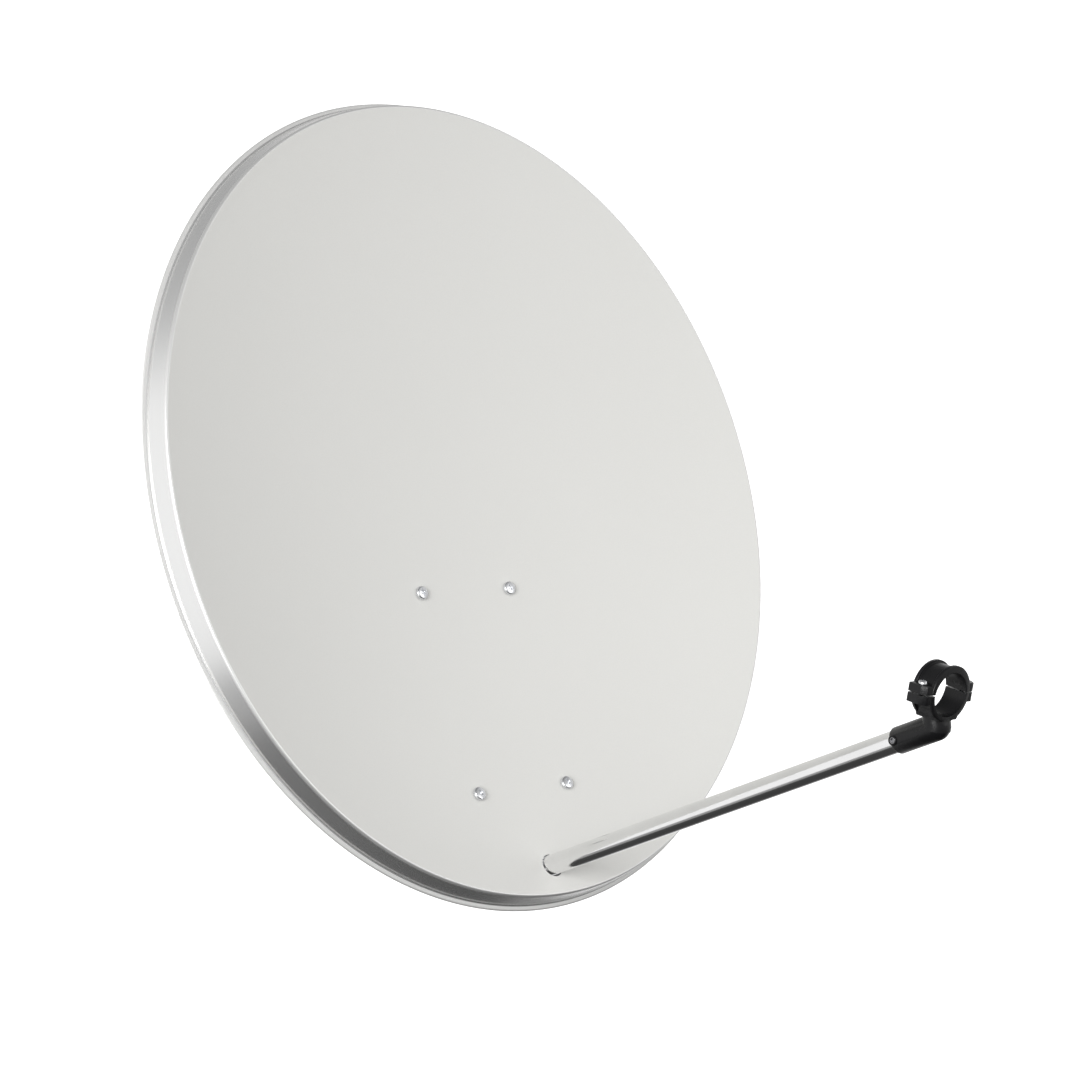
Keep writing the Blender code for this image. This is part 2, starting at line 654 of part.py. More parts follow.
def holder_screws():
    """Two clamp screws driven into the lower ears, and the short screw that grips the tube."""
    length = EAR_TOP - EAR_BOTTOM - 0.0006
    shank = CLAMP_SCREW_RADIUS
    for side, name in ((-1, "left"), (1, "right")):
        seat = ring_point(side * EAR_SCREW_X, EAR_TOP + GAP, EAR_SCREW_ALONG)
        outline = [(0.0, -length), (shank - 0.0005, -length), (shank, -length + 0.001), (shank, 0.0)]
        outline += [(0.0040, 0.0), (0.0040, 0.0014), (0.0036, 0.0023), (0.0026, 0.0029), (0.0012, 0.0030)]
        outline += [(0.0010, 0.0016), (0.0, 0.0016)]
        look = zinc_plate("clamp_screw_zinc_" + name)
        make_object("clamp_screw_" + name, turned(outline, 20, seat, RING_UP), look)
    seat = on_arm(SLEEVE_MOUTH + BOSS_SETBACK, 0.0, -TUBE_RADIUS - GAP)
    outline = [(0.0, 0.0), (0.0021, 0.0), (0.0021, 0.0010), (0.0018, 0.0013), (0.0, 0.0013)]
    make_object("holder_screw", turned(outline, 20, seat, -ACROSS), zinc_plate("holder_screw_zinc"))


def vee_outline(width, length):
    """A flange seen from above, with the notch that grips the mast."""
    depth = VEE_HALF_WIDTH / tan(VEE_HALF_ANGLE)
    points = [(-width, 0.0), (-width, length), (-VEE_HALF_WIDTH, length), (0.0, length - depth)]
    return points + [(VEE_HALF_WIDTH, length), (width, length), (width, 0.0)]


def channel_cheek():
    """Side view of the mast bracket's cheek, as (Y, Z) points."""
    half = WEB_HEIGHT / 2 - INSET
    points = [(-INSET, half), (-INSET, -half), (-0.022, -half)]
    low = (PIVOT.y, PIVOT.z - SLOT_RADIUS)
    for angle in (-90, -120, -150, -180):
        points.append((low[0] + 0.015 * cos(radians(angle)), low[1] + 0.015 * sin(radians(angle))))
    for angle in (180, 150, 120, 90):
        points.append((PIVOT.y + 0.015 * cos(radians(angle)), PIVOT.z + 0.015 * sin(radians(angle))))
    points.append((-0.022, half))
    return points


def mast_bracket():
    """Channel on the mast: a web, two cheeks in front and two notched flanges behind."""
    half = WEB_HEIGHT / 2
    look = galvanised_steel("mast_bracket_galvanised")
    web = box((INSET - CHANNEL_X, -PLATE, -half), (CHANNEL_X - INSET, 0.0, half))
    body = make_object("mast_bracket", web, look)
    for x, name in ((-CHANNEL_X, "left"), (CHANNEL_X - PLATE, "right")):
        combine(body, helper("channel_cheek_" + name, prism(channel_cheek(), PLATE, side_place(x))), "UNION")
    notched = vee_outline(CHANNEL_X - 2 * INSET, MAST_FLANGE)
    notched = [(x, y - 0.001) if y == 0.0 else (x, y) for x, y in notched]
    for level, name in ((half - PLATE - INSET, "upper"), (-half + INSET, "lower")):
        plate = prism(notched, PLATE, Matrix.Translation((0, 0, level)))
        combine(body, helper("mast_flange_" + name, plate), "UNION")
    reach = ACROSS * 0.08
    low = PIVOT - Vector((0, 0, SLOT_RADIUS))
    for centre, name in ((PIVOT, "channel_pivot_hole"), (low, "channel_lock_hole")):
        hole = cylinder(centre - reach, centre + reach, BOLT_HOLE, 24)
        combine(body, helper(name, hole), "DIFFERENCE")
    for index, (x, z) in enumerate(jaw_bolt_places()):
        start = Vector((x, -0.01, z))
        hole = cylinder(start, start + Vector((0, 0.02, 0)), BOLT_HOLE, 16)
        combine(body, helper(f"web_hole_{index}", hole), "DIFFERENCE")
    return body


def jaw_bolt_places():
    """Places of the four long bolts round the mast, in X and Z."""
    return [(x, z) for z in (JAW_BOLT_Z, -JAW_BOLT_Z) for x in (-JAW_BOLT_X, JAW_BOLT_X)]


def jaw_web():
    """Y of the jaw web's near face when the jaws grip a 50 mm mast."""
    apex = MAST_FLANGE - VEE_HALF_WIDTH / tan(VEE_HALF_ANGLE)
    return 2 * (apex + MAST_RADIUS / sin(VEE_HALF_ANGLE))


def mast_jaw(name, level):
    """A channel behind the mast, with the same notch turned to face it."""
    near = jaw_web()
    half = JAW_HEIGHT / 2
    plate = box((-CHANNEL_X, near, level - half), (CHANNEL_X, near + PLATE, level + half))
    body = make_object(name, plate, galvanised_steel(name + "_galvanised"))
    outline = [(x, near + (-y if y else 0.001)) for x, y in vee_outline(CHANNEL_X - INSET, MAST_FLANGE)]
    for low, end in ((level - half + INSET, "lower"), (level + half - PLATE - INSET, "upper")):
        flange = prism(outline, PLATE, Matrix.Translation((0, 0, low)))
        combine(body, helper(f"{name}_flange_{end}", flange), "UNION")
    for x, side in ((-JAW_BOLT_X, "left"), (JAW_BOLT_X, "right")):
        start = Vector((x, near - 0.01, level))
        hole = cylinder(start, start + Vector((0, 0.02, 0)), BOLT_HOLE, 16)
        combine(body, helper(f"{name}_hole_{side}", hole), "DIFFERENCE")
    return body


def jaw_fasteners():
    """Four long bolts from the mast bracket's web, past the mast, to the jaws."""
    names = ["upper_left", "upper_right", "lower_left", "lower_right"]
    back = jaw_web() + PLATE
    for name, (x, z) in zip(names, jaw_bolt_places()):
        seat = Vector((x, -PLATE - GAP, z))
        length = back + PLATE + 0.018
        outline = [(0.0, -length), (BOLT_RADIUS * 0.8, -length), (BOLT_RADIUS, -length + 0.0008)]
        outline += [(BOLT_RADIUS, 0.0), (0.0068, 0.0), (0.0066, 0.0016), (0.0045, 0.0036), (0.0, 0.0044)]
        axis = Vector((0, -1, 0))
        make_object("jaw_bolt_" + name, turned(outline, 20, seat, axis), zinc_plate("jaw_bolt_zinc_" + name))
        look = zinc_plate("jaw_nut_zinc_" + name)
        nut("jaw_nut_" + name, Vector((x, back + GAP, z)), Vector((0, 1, 0)), look)


def hinge_fasteners():
    """The long pivot bolt, and a lock bolt in the curved slot on each side."""
    outer = CHEEK_INNER + PLATE + GAP
    hex_bolt("pivot_bolt", PIVOT - ACROSS * outer, -ACROSS, 2 * outer + 0.0110, zinc_plate("pivot_bolt_zinc"))
    nut("pivot_nut", PIVOT + ACROSS * outer, ACROSS, zinc_plate("pivot_nut_zinc"))
    low = PIVOT - Vector((0, 0, SLOT_RADIUS))
    inner = CHANNEL_X - PLATE - GAP
    for side, name in ((-1, "left"), (1, "right")):
        axis = ACROSS * side
        length = outer - inner + 0.0110
        hex_bolt("lock_bolt_" + name, low + axis * inner, -axis, length, zinc_plate("lock_bolt_zinc_" + name))
        nut("lock_nut_" + name, low + axis * outer, axis, zinc_plate("lock_nut_zinc_" + name))


def hang_on_hinge():
    """Parents everything that tilts to an empty on the hinge's axis."""
    on_the_mast = ("mast_", "jaw_", "pivot_", "lock_")
    hinge = bpy.data.objects.new("elevation_hinge", None)
    hinge.location = PIVOT
    bpy.context.scene.collection.objects.link(hinge)
    bpy.context.view_layer.update()
    for item in bpy.data.objects:
        if item.type == "MESH" and not item.hide_render and not item.name.startswith(on_the_mast):
            item.parent = hinge
            item.matrix_parent_inverse = hinge.matrix_world.inverted()


for item in list(bpy.data.objects):
    bpy.data.objects.remove(item, do_unlink=True)

reflector()
reflector_fasteners()
reflector_bracket()
feed_arm()
arm_end_cap()
arm_fastener()
lnb_holder()
lnb_clamp_cap()
holder_screws()
mast_bracket()
mast_jaw("mast_jaw_upper", JAW_BOLT_Z)
mast_jaw("mast_jaw_lower", -JAW_BOLT_Z)
jaw_fasteners()
hinge_fasteners()
hang_on_hinge()
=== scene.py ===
"""Looks of an offset dish antenna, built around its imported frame.

Metres, +Z up. The antenna looks towards -Y, and the mast bracket's web is at the origin.
"""

from math import atan2, cos, pi, radians, sin, sqrt, tan

import bmesh
import bpy
from mathutils import Matrix, Vector


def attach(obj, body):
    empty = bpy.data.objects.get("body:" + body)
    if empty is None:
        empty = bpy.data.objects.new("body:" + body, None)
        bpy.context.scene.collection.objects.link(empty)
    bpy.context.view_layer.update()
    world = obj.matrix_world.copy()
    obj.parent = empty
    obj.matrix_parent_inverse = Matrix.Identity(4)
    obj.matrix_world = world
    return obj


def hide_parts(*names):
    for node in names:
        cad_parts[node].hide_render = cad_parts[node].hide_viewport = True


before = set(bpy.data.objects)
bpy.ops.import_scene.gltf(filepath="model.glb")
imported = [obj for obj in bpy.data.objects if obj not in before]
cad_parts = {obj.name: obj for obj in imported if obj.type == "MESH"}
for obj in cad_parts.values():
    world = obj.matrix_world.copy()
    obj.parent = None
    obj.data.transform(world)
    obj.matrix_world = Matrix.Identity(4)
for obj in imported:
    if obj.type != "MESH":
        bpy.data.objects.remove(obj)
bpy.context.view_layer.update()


# Reflector. A disc of thin steel sheet, deep drawn in one piece with its skirt and a
# folded hem, then powder coated light grey. The face has a fine matt grain, and the
# skirt is drawn smoother.
DISH_HEIGHT = 0.800
FOCAL_LENGTH = 0.4727
OFFSET_ANGLE = radians(21.49)
LEAN_BACK = radians(15.69)
RIM_CENTRE = Vector((0.0, -0.1195, 0.2009))
RIM_HALF_WIDTH = DISH_HEIGHT * cos(OFFSET_ANGLE) / 2
RIM_HALF_HEIGHT = DISH_HEIGHT / 2
SHEET = 0.0008
SKIRT_SPREAD = 0.0092
HEM_WIDTH = 0.0042
ARM_HOLE_LEVEL = -0.3728
ARM_HOLE_RADIUS = 0.0114
FACE_COLOUR = (0.770, 0.767, 0.742, 1.0)
SKIRT_COLOUR = (0.80, 0.80, 0.795, 1.0)
SHARP_ANGLE = radians(35)

ACROSS = Vector((1.0, 0.0, 0.0))
UP_RIM = Vector((0.0, sin(LEAN_BACK), cos(LEAN_BACK)))
OUT_RIM = Vector((0.0, -cos(LEAN_BACK), sin(LEAN_BACK)))


def bowl_depth(x, up):
    """Depth of the reflecting surface behind the rim's plane."""
    width = DISH_HEIGHT * cos(OFFSET_ANGLE)
    low = (4 * FOCAL_LENGTH * tan(OFFSET_ANGLE) - width) / 2
    level = low * low / (4 * FOCAL_LENGTH) + tan(OFFSET_ANGLE) * width / 2
    across = low + width / 2 + up * cos(OFFSET_ANGLE)
    a = sin(OFFSET_ANGLE) ** 2 / (4 * FOCAL_LENGTH)
    b = across * sin(OFFSET_ANGLE) / (2 * FOCAL_LENGTH) + cos(OFFSET_ANGLE)
    c = (x * x + across * across) / (4 * FOCAL_LENGTH) - level - up * sin(OFFSET_ANGLE)
    return (sqrt(b * b - 4 * a * c) - b) / (2 * a)


def in_rim(x, up, out):
    """World point from coordinates in the rim's plane."""
    return RIM_CENTRE + ACROSS * x + UP_RIM * up + OUT_RIM * out


def on_bowl(x, up):
    """World point on the reflecting surface."""
    return in_rim(x, up, -bowl_depth(x, up))


def bowl_normal(x, up):
    """Unit normal of the reflecting surface, out of the bowl."""
    step = 0.001
    side = (bowl_depth(x + step, up) - bowl_depth(x - step, up)) / (2 * step)
    rise = (bowl_depth(x, up + step) - bowl_depth(x, up - step)) / (2 * step)
    return (OUT_RIM + ACROSS * side + UP_RIM * rise).normalized()


class Value:
    """A shader socket that takes part in Python expressions."""

    def __init__(self, kit, socket):
        self.kit = kit
        self.socket = socket

    def _join(self, operation, first, second):
        return self.kit.node("ShaderNodeMath", {"operation": operation}, {0: first, 1: second})

    def __add__(self, other):
        return self._join("ADD", self, other)

    def __radd__(self, other):
        return self._join("ADD", other, self)

    def __sub__(self, other):
        return self._join("SUBTRACT", self, other)

    def __rsub__(self, other):
        return self._join("SUBTRACT", other, self)

    def __mul__(self, other):
        return self._join("MULTIPLY", self, other)

    def __rmul__(self, other):
        return self._join("MULTIPLY", other, self)

    def __gt__(self, other):
        return self._join("GREATER_THAN", self, other)


class Nodes:
    """A node tree in the making."""

    def __init__(self, tree):
        self.tree = tree

    def node(self, kind, settings, sockets, output=0):
        """Any node, from its settings and the values or links of its sockets."""
        made = self.tree.nodes.new(kind)
        for name, value in settings.items():
            if name == "stops":
                elements = made.color_ramp.elements
                while len(elements) < len(value):
                    elements.new(1.0)
                for element, (position, grey) in zip(elements, value):
                    element.position = position
                    element.color = (grey, grey, grey, 1.0)
            else:
                setattr(made, name, value)
        for name, value in sockets.items():
            if isinstance(value, Value):
                self.tree.links.new(value.socket, made.inputs[name])
            else:
                made.inputs[name].default_value = value
        return Value(self, made.outputs[output])


class Finish(Nodes):
    """A material: its nodes, and the shader at the end of them."""

    def __init__(self, name, **constants):
        self.material = bpy.data.materials.new(name)
        self.material.use_nodes = True
        super().__init__(self.material.node_tree)
        self.shader = self.tree.nodes["Principled BSDF"]
        for socket, value in constants.items():
            self.shader.inputs[socket.replace("_", " ")].default_value = value
        self.place = self.node("ShaderNodeTexCoord", {}, {}, "Object")

    def noise(self, scale, detail=3.0, where=None, roughness=0.5):
        sockets = {"Vector": where or self.place, "Scale": scale, "Detail": detail}
        sockets["Roughness"] = roughness
        return self.node("ShaderNodeTexNoise", {}, sockets)

    def mix(self, factor, first, second):
        settings = {"data_type": "RGBA"}
        return self.node("ShaderNodeMix", settings, {0: factor, 6: first, 7: second}, 2)

    def stretched(self, scale, rotation=(0.0, 0.0, 0.0)):
        sockets = {"Vector": self.place, "Scale": scale, "Rotation": rotation}
        return self.node("ShaderNodeMapping", {}, sockets)

    def feed(self, socket, value):
        self.tree.links.new(value.socket, self.shader.inputs[socket])

    def bump(self, height, strength, distance):
        sockets = {"Height": height, "Strength": strength, "Distance": distance}
        self.feed("Normal", self.node("ShaderNodeBump", {}, sockets))


def toned(colour, share):
    """A colour made lighter or darker."""
    return tuple(share * value for value in colour[:3]) + (1.0,)


def reflector_finish():
    """Grained matt powder coat on the face, smoother and brighter on the skirt."""
    made = Finish("reflector_powder_coat", IOR=1.5, Roughness=0.5)
    skirt = made.node("ShaderNodeAttribute", {"attribute_name": "skirt"}, {}, "Fac")
    cloud = made.noise(5.0, 2.0)
    grain = made.noise(900.0, 2.0)
    face = made.mix(cloud, toned(FACE_COLOUR, 0.97), FACE_COLOUR)
    speck = made.mix(grain * 0.16, face, (0.45, 0.45, 0.43, 1.0))
    made.feed("Base Color", made.mix(skirt, speck, SKIRT_COLOUR))
    made.feed("Roughness", 0.52 + cloud * 0.06 - skirt * 0.30)
    made.feed("Metallic", skirt * 0.85)
    pits = made.noise(1400.0, 3.0) * (1.0 - skirt)
    made.bump(pits, 0.35, 0.0004)
    return made.material


def finish_mesh(name, made, look, slot, body, *nodes):
    """Turns a bmesh into a named piece that stands for frame nodes."""
    bmesh.ops.remove_doubles(made, verts=made.verts, dist=0.000001)
    bmesh.ops.recalc_face_normals(made, faces=made.faces)
    mesh = bpy.data.meshes.new(name)
    made.to_mesh(mesh)
    made.free()
    mesh.shade_smooth()
    mesh.set_sharp_from_angle(angle=SHARP_ANGLE)
    mesh.materials.append(look)
    piece = bpy.data.objects.new(name, mesh)
    bpy.context.scene.collection.objects.link(piece)
    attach(piece, body)
    if nodes:
        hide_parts(*nodes)
    return piece


def spun(made, points, steps):
    """An open chain of edges through points, spun full circle about Z."""
    corners = [made.verts.new(point) for point in points]
    edges = [made.edges.new(pair) for pair in zip(corners, corners[1:])]
    bmesh.ops.spin(made, geom=corners + edges, cent=(0, 0, 0), axis=(0, 0, 1), angle=2 * pi,
                   steps=steps, use_merge=True)


def frozen(piece):
    """Makes a piece's modifiers part of its mesh."""
    bpy.context.view_layer.update()
    graph = bpy.context.evaluated_depsgraph_get()
    mesh = bpy.data.meshes.new_from_object(piece.evaluated_get(graph))
    old = piece.data
    piece.modifiers.clear()
    piece.data = mesh
    bpy.data.meshes.remove(old)


def shaped(piece, tool, operation, name):
    """Cuts a bmesh out of a piece, or joins it on."""
    bmesh.ops.recalc_face_normals(tool, faces=tool.faces)
    mesh = bpy.data.meshes.new(name)
    tool.to_mesh(mesh)
    tool.free()
    mesh.shade_smooth()
    other = bpy.data.objects.new(name, mesh)
    bpy.context.scene.collection.objects.link(other)
    modifier = piece.modifiers.new(name, "BOOLEAN")
    modifier.operation = operation
    modifier.solver = "EXACT"
    modifier.object = other
    frozen(piece)
    bpy.data.objects.remove(other)
    bpy.data.meshes.remove(mesh)
    piece.data.set_sharp_from_angle(angle=SHARP_ANGLE)


def cut(piece, tool, name):
    """Cuts a bmesh out of a piece."""
    shaped(piece, tool, "DIFFERENCE", name)


def upright(origin, axis, hint=ACROSS):
    """Placement whose local Z points along an axis."""
    axis = axis.normalized()
    if abs(axis.dot(hint)) > 0.9:
        hint = Vector((0.0, 0.0, 1.0))
    side = axis.cross(hint).normalized()
    turn = Matrix((side.cross(axis), side, axis)).transposed().to_4x4()
    return Matrix.Translation(origin) @ turn


def round_bar(made, start, end, radius, sides=48):
    """A closed round bar between two points."""
    axis = end - start
    bmesh.ops.create_cone(
        made,
        cap_ends=True,
        segments=sides,
        radius1=radius,
        radius2=radius,
        depth=axis.length,
        matrix=upright((start + end) / 2, axis),
    )
    return made


def rounded(piece, width, segments=3, angle=40):
    """Rounds the edges of a piece with a live Bevel."""
    modifier = piece.modifiers.new("rounded", "BEVEL")
    modifier.width = width
    modifier.segments = segments
    modifier.limit_method = "ANGLE"
    modifier.angle_limit = radians(angle)
    modifier.harden_normals = True
    return piece


def drawn_reflector():
    """The bowl, shoulder, skirt and hem, spun flat and then drawn into the offset dish."""
    rings = 28
    shares = [step / rings for step in range(rings + 1)]
    edge = [(0.0008, 0.0003), (0.0017, 0.0001), (0.0025, -0.0006), (0.0031, -0.0016), (0.0034, -0.0028)]
    for step in range(1, 7):
        edge.append((0.0034 + (SKIRT_SPREAD - 0.0044) * step / 6, -0.0028 - 0.0184 * step / 6))
    edge += [(SKIRT_SPREAD - 0.0012, -0.0218), (SKIRT_SPREAD - 0.0012, -0.0226)]
    edge += [(SKIRT_SPREAD - 0.0004, -0.0232)]
    edge += [(SKIRT_SPREAD + 0.0006, -0.0234), (SKIRT_SPREAD + 0.0024, -0.0236)]
    edge += [(SKIRT_SPREAD + HEM_WIDTH - 0.0008, -0.0239), (SKIRT_SPREAD + HEM_WIDTH, -0.0249)]
    edge += [(SKIRT_SPREAD + HEM_WIDTH - 0.0006, -0.0258), (SKIRT_SPREAD + 0.0016, -0.0259)]
    made = bmesh.new()
    profile = [Vector((share, 0.0, 0.0)) for share in shares]
    profile += [Vector((1.0 + spread, 0.0, out)) for spread, out in edge]
    spun(made, profile, 240)
    bmesh.ops.remove_doubles(made, verts=made.verts, dist=0.0000005)
    skirt = made.verts.layers.float.new("skirt")
    for corner in made.verts:
        radius = Vector((corner.co.x, corner.co.y)).length
        turn = atan2(corner.co.y, corner.co.x)
        share = min(radius, 1.0)
        spread = max(radius - 1.0, 0.0)
        x = (RIM_HALF_WIDTH * share + spread) * cos(turn)
        up = (RIM_HALF_HEIGHT * share + spread) * sin(turn)
        out = corner.co.z if spread > 0.00001 else -bowl_depth(x, up)
        corner[skirt] = 0.0 if spread < 0.0006 else 0.8 if spread < 0.0032 else 1.0
        if spread > SKIRT_SPREAD - 0.0002:
            corner[skirt] = 0.6
        corner.co = in_rim(x, up, out)
    return made


reflector = finish_mesh("reflector_dressed", drawn_reflector(), reflector_finish(), "reflector_paint",
                        "dish", "reflector")
if sum(face.normal.dot(OUT_RIM) for face in reflector.data.polygons) < 0:
    reflector.data.flip_normals()
wall = reflector.modifiers.new("sheet", "SOLIDIFY")
wall.thickness = SHEET
wall.offset = -1.0
frozen(reflector)


# Reflector bolts and nuts. Four zinc plated M8 bolts with low domed heads and a cross
# recess go through the sheet into the bracket behind it, each with a flanged nut.
BOLT_X = 0.0575
BOLT_LEVELS = {"upper": -0.0875, "lower": -0.2943}
HEAD_RADIUS = 0.0069
BOLT_RADIUS = 0.0040
PLATE = 0.0025
GAP = 0.0003
HEAD_GAP = 0.0007
NUT_FLATS = 0.0130


def zinc_finish(name, colour=(0.80, 0.81, 0.83, 1.0), roughness=0.22):
    """Bright zinc with faint mottling and fine scratches."""
    made = Finish(name, Metallic=1.0, Base_Color=colour, Roughness=roughness)
    mottle = made.noise(220.0, 4.0)
    made.feed("Base Color", made.mix(mottle, toned(colour, 0.86), colour))
    made.feed("Roughness", roughness - 0.06 + mottle * 0.16)
    made.bump(made.noise(2600.0, 2.0), 0.15, 0.0001)
    return made.material


ZINC = zinc_finish("fastener_zinc")


def turned(made, outline, matrix, sides=48):
    """Spins an outline of (radius, height) points about local Z."""
    before = set(made.verts)
    spun(made, [Vector((radius, 0.0, height)) for radius, height in outline], sides)
    fresh = [corner for corner in made.verts if corner not in before]
    bmesh.ops.transform(made, matrix=matrix, verts=fresh)
    bmesh.ops.remove_doubles(made, verts=fresh, dist=0.000001)
    return made


def domed_bolt(name, seat, axis, length, node, body):
    """A domed head with a cross recess on a plain shank."""
    made = bmesh.new()
    outline = [(0.0, -length), (0.0032, -length), (BOLT_RADIUS, -length + 0.0008), (BOLT_RADIUS, 0.0)]
    outline += [(HEAD_RADIUS - 0.0003, 0.0), (HEAD_RADIUS, 0.0003), (HEAD_RADIUS, 0.0019)]
    for turn in (0.3, 0.7, 1.1, 1.4):
        outline.append((HEAD_RADIUS - 0.0016 + 0.0016 * cos(turn), 0.0019 + 0.0018 * sin(turn)))
    outline += [(HEAD_RADIUS - 0.0025, 0.0039), (0.0, 0.0042)]
    turned(made, outline, upright(seat, axis))
    piece = finish_mesh(name, made, ZINC, "zinc_fastener", body, node)
    for turn in (0.4, 0.4 + pi / 2):
        recess = bmesh.new()
        arm = Matrix.Rotation(turn, 4, "Z") @ Matrix.Diagonal((0.0064, 0.0014, 0.0050, 1.0))
        bmesh.ops.create_cube(recess, size=1.0, matrix=upright(seat + axis * 0.0046, axis) @ arm)
        cut(piece, recess, name + "_recess")
    return piece


def hexagon(made, flats, depth, place):
    """A closed hexagon bar about the middle of a placement, along its local Z."""
    reach = flats / sqrt(3)
    bmesh.ops.create_cone(made, cap_ends=True, segments=6, radius1=reach, radius2=reach, depth=depth,
                          matrix=place)
    return made


def hexagon_bar(made, place, flats, low, high, chamfer):
    """A hexagon bar between two heights, and the outline its corners are turned to."""
    hexagon(made, flats, high - low, place @ Matrix.Translation((0, 0, (low + high) / 2)))
    reach = flats / sqrt(3)
    outline = [(0.0, low - 0.001), (reach + 0.001, low - 0.001)]
    outline += [(reach + 0.001, high - chamfer * 0.6 - 0.0006)]
    outline += [(flats / 2 - chamfer * 0.3, high + 0.0001), (0.0, high + 0.0001)]
    return outline


def flanged_nut(name, seat, axis, node, body, height=0.0065):
    """A hexagon nut on a round flange, with its bore."""
    place = upright(seat, axis)
    made = bmesh.new()
    turning = hexagon_bar(made, place, NUT_FLATS, 0.0002, height, 0.0008)
    piece = finish_mesh(name, made, ZINC, "zinc_fastener", body, node)
    shaped(piece, turned(bmesh.new(), turning, place), "INTERSECT", name + "_corners")
    flange = [(0.0, 0.0), (0.0081, 0.0), (0.0083, 0.0003), (0.0083, 0.0008)]
    flange += [(0.0074, 0.0016), (0.0, 0.0017)]
    shaped(piece, turned(bmesh.new(), flange, place), "UNION", name + "_flange")
    bore = [(0.0, -0.002), (BOLT_RADIUS + 0.0022, -0.002), (BOLT_RADIUS + GAP, 0.0005)]
    bore += [(BOLT_RADIUS + GAP, height - 0.0007), (BOLT_RADIUS + 0.0017, height + 0.001)]
    bore += [(0.0, height + 0.001)]
    cut(piece, turned(bmesh.new(), bore, place), name + "_bore")
    return piece


for level_name, level in BOLT_LEVELS.items():
    for side_name, x in (("left", -BOLT_X), ("right", BOLT_X)):
        place_name = f"{level_name}_{side_name}"
        normal = bowl_normal(x, level)
        foot = on_bowl(x, level)
        domed_bolt(f"domed_bolt_{place_name}", foot + normal * HEAD_GAP, normal, 0.0160,
                   f"reflector_bolt_{place_name}", "dish")
        back = foot - normal * (SHEET + PLATE + 2 * GAP)
        flanged_nut(f"flanged_nut_{place_name}", back, -normal, f"reflector_nut_{place_name}", "dish")


# Reflector bracket. A hat section pressed from galvanised plate: two flanges bolted to
# the reflector's back, two cheeks with a curved elevation slot, and a foot for the arm.
CHEEK_INNER = 0.0428
PLATE_EDGE = 0.0005
PIVOT = Vector((0.0, -0.045, 0.050))
SLOT_RADIUS = 0.080


def galvanised_finish(name):
    """Hot-dip zinc: grey crystals of slightly different brightness, dull with age."""
    made = Finish(name, Metallic=0.92)
    crystals = made.node("ShaderNodeTexVoronoi", {}, {"Vector": made.place, "Scale": 190.0}, "Color")
    grey = made.node("ShaderNodeRGBToBW", {}, {"Color": crystals})
    cloud = made.noise(14.0, 4.0)
    tone = made.mix(grey * 0.6 + cloud * 0.4, (0.40, 0.41, 0.42, 1.0), (0.60, 0.61, 0.62, 1.0))
    made.feed("Base Color", tone)
    made.feed("Roughness", 0.36 + grey * 0.12 + cloud * 0.10)
    made.bump(made.noise(700.0, 3.0) + grey * 0.3, 0.12, 0.0003)
    return made.material


GALVANISED = galvanised_finish("bracket_hot_dip_zinc")


def pressed_plate(name, node, body):
    """A bent plate with its cut edges broken, from the frame's node of the same form."""
    made = bmesh.new()
    made.from_mesh(bpy.data.objects[node].data)
    bmesh.ops.remove_doubles(made, verts=made.verts, dist=0.00001)
    bmesh.ops.dissolve_limit(made, angle_limit=radians(0.5), verts=made.verts, edges=made.edges)
    piece = finish_mesh(name, made, GALVANISED, "galvanised_steel", body, node)
    return rounded(piece, PLATE_EDGE, 2, 50)


pressed_plate("hat_bracket", "reflector_bracket", "dish")


# Mast bracket. A channel of the same plate stands against the mast with two notched
# flanges. It carries the dish between its cheeks on one long bolt.
pressed_plate("mast_channel", "mast_bracket", "mast_clamp")


# Mast jaws. Two short channels behind the mast, with the same notch, drawn up by four
# long bolts with domed heads, whose thread takes a flanged nut behind each jaw.
MAST_FLANGE = 0.026
VEE_HALF_WIDTH = 0.0235
VEE_HALF_ANGLE = radians(55.0)
MAST_RADIUS = 0.025
JAW_BOLT_X = 0.0305
JAW_BOLT_Z = 0.050
JAW_BOLT_END = 0.018
JAW_WEB = 2 * (MAST_FLANGE - VEE_HALF_WIDTH / tan(VEE_HALF_ANGLE) + MAST_RADIUS / sin(VEE_HALF_ANGLE))

for level in ("upper", "lower"):
    pressed_plate(f"jaw_channel_{level}", f"mast_jaw_{level}", "mast_clamp")


def thread(radius, start, end, pitch=0.00125):
    """Outline of a threaded stretch, as crests and roots."""
    turns = int((end - start) / pitch)
    points = []
    for turn in range(turns):
        points.append((radius - 0.0006, start + pitch * turn))
        points.append((radius, start + pitch * (turn + 0.5)))
    return points + [(radius - 0.0006, start + pitch * turns)]


def jaw_bolt(name, seat, length, node):
    """A long bolt with a domed head, threaded over its last 45 mm."""
    outline = [(0.0, -length), (BOLT_RADIUS - 0.0010, -length)]
    outline += thread(BOLT_RADIUS, -length + 0.0006, -length + 0.045)
    outline += [(BOLT_RADIUS, -length + 0.0462), (BOLT_RADIUS, 0.0), (0.0066, 0.0), (0.0068, 0.0003)]
    outline += [(0.0066, 0.0016), (0.0058, 0.0027), (0.0045, 0.0036), (0.0025, 0.0042), (0.0, 0.0044)]
    made = turned(bmesh.new(), outline, upright(seat, Vector((0, -1, 0))), 40)
    return finish_mesh(name, made, ZINC, "zinc_fastener", "mast_clamp", node)


